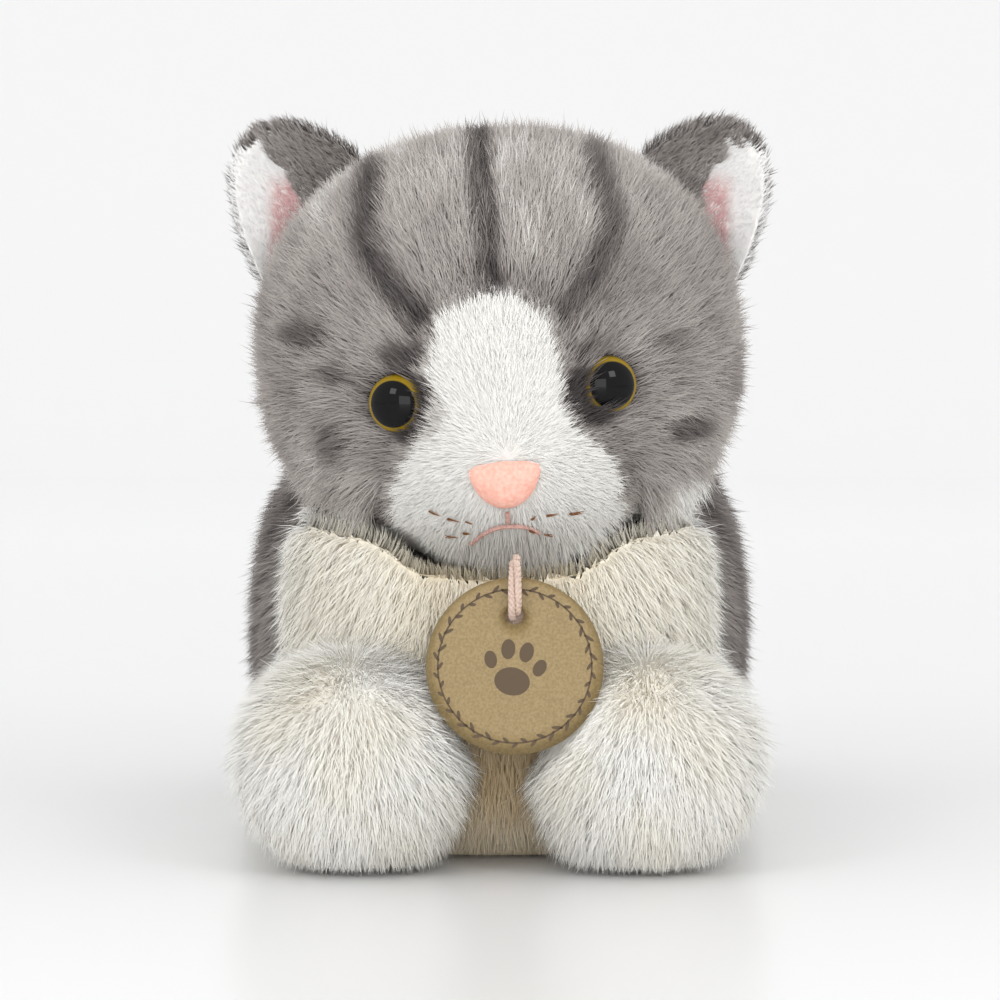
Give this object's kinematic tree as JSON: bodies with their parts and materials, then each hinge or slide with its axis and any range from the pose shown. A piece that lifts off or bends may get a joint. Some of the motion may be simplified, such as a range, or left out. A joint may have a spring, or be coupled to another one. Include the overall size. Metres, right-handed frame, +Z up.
{
  "type": "plush cat",
  "caption": "Soft long-pile plush kitten lying on its belly, grey and white tabby, with safety eyes, a movable head, ears, legs and tail, and a round swing tag on a cord.",
  "frame": {"origin": "on the ground under the middle of the kitten's box", "axes": "-Y the way the kitten faces, +X its own left, +Z up"},
  "size_m": [0.1458, 0.2591, 0.1937],
  "materials": {
    "grey_plush": "long-pile tabby grey plush",
    "white_plush": "long-pile off-white plush",
    "ear_plush": "short-pile white plush tinted pink",
    "filling": "polyester fibre",
    "pouch_cloth": "woven pouch of plastic pellets",
    "eye": "clear-coated",
    "washer": "moulded",
    "nose": "flocked pink",
    "thread": "embroidery thread",
    "tag": "embossed board with a leather look",
    "cord": "twisted cord",
    "label": "blank satin ribbon"
  },
  "bodies": {
    "torso": {"back_panel": "grey_plush", "belly_panel": "white_plush", "chest_panel": "white_plush", "torso_filling": "filling", "pellet_pouch": "pouch_cloth", "closing_seam": "thread", "care_label": "label"},
    "neck": {"neck_gusset": "white_plush"},
    "head": {"muzzle_panel": "white_plush", "crown_panel": "grey_plush", "left_cheek_panel": "grey_plush", "right_cheek_panel": "grey_plush", "throat_panel": "white_plush", "nape_panel": "grey_plush", "head_filling": "filling", "left_eye": "eye", "right_eye": "eye", "left_eye_washer": "washer", "right_eye_washer": "washer", "nose": "nose", "mouth_thread": "thread", "philtrum_thread": "thread"},
    "left_ear": {"left_ear_back": "grey_plush", "left_ear_lining": "ear_plush"},
    "right_ear": {"right_ear_back": "grey_plush", "right_ear_lining": "ear_plush"},
    "left_front_leg": {"left_front_leg_skin": "white_plush", "left_front_leg_filling": "filling"},
    "right_front_leg": {"right_front_leg_skin": "white_plush", "right_front_leg_filling": "filling"},
    "left_hind_leg": {"left_haunch_skin": "grey_plush", "left_haunch_filling": "filling", "left_hind_foot_skin": "white_plush", "left_hind_foot_filling": "filling"},
    "right_hind_leg": {"right_haunch_skin": "grey_plush", "right_haunch_filling": "filling", "right_hind_foot_skin": "white_plush", "right_hind_foot_filling": "filling"},
    "tail": {"tail_skin": "grey_plush", "tail_filling": "filling"},
    "tag": {"swing_tag": "tag", "tag_cord": "cord", "cord_knot": "cord"}
  },
  "joints": [
    {"name": "neck_turn", "type": "hinge", "parent": "torso", "child": "neck", "pos_m": [0, -0.05, 0.134], "axis": [0, 0, 1], "range_deg": [-20, 20], "stiffness_Nm_per_rad": 0.2},
    {"name": "head_nod", "type": "hinge", "parent": "neck", "child": "head", "pos_m": [0, -0.05, 0.134], "axis": [-1, 0, 0], "range_deg": [0, 12], "stiffness_Nm_per_rad": 0.3},
    {"name": "left_ear_fold", "type": "hinge", "parent": "head", "child": "left_ear", "pos_m": [0.05069, -0.046, 0.16782], "axis": [0.5939, 0, -0.8046], "range_deg": [-14, 14], "stiffness_Nm_per_rad": 0.02},
    {"name": "right_ear_fold", "type": "hinge", "parent": "head", "child": "right_ear", "pos_m": [-0.05034, -0.046, 0.1673], "axis": [0.6202, 0, 0.7845], "range_deg": [-14, 14], "stiffness_Nm_per_rad": 0.02},
    {"name": "left_front_leg_splay", "type": "hinge", "parent": "torso", "child": "left_front_leg", "pos_m": [0.0385, -0.066, 0.0275], "axis": [0, 0, 1], "range_deg": [0, 18], "stiffness_Nm_per_rad": 0.1},
    {"name": "right_front_leg_splay", "type": "hinge", "parent": "torso", "child": "right_front_leg", "pos_m": [-0.0385, -0.066, 0.0275], "axis": [0, 0, -1], "range_deg": [0, 18], "stiffness_Nm_per_rad": 0.1},
    {"name": "left_hip_lift", "type": "hinge", "parent": "torso", "child": "left_hind_leg", "pos_m": [0.0502, 0.044, 0.052], "axis": [-1, 0, 0], "range_deg": [0, 20], "stiffness_Nm_per_rad": 0.2},
    {"name": "right_hip_lift", "type": "hinge", "parent": "torso", "child": "right_hind_leg", "pos_m": [-0.0502, 0.044, 0.052], "axis": [-1, 0, 0], "range_deg": [0, 20], "stiffness_Nm_per_rad": 0.2},
    {"name": "tail_swing", "type": "hinge", "parent": "torso", "child": "tail", "pos_m": [0, 0.0985, 0.044], "axis": [0, 0, 1], "range_deg": [0, 35], "stiffness_Nm_per_rad": 0.03},
    {"name": "tag_swing", "type": "hinge", "parent": "torso", "child": "tag", "pos_m": [0.004, -0.0985, 0.07], "axis": [-1, 0, 0], "range_deg": [0, 20]}
  ]
}
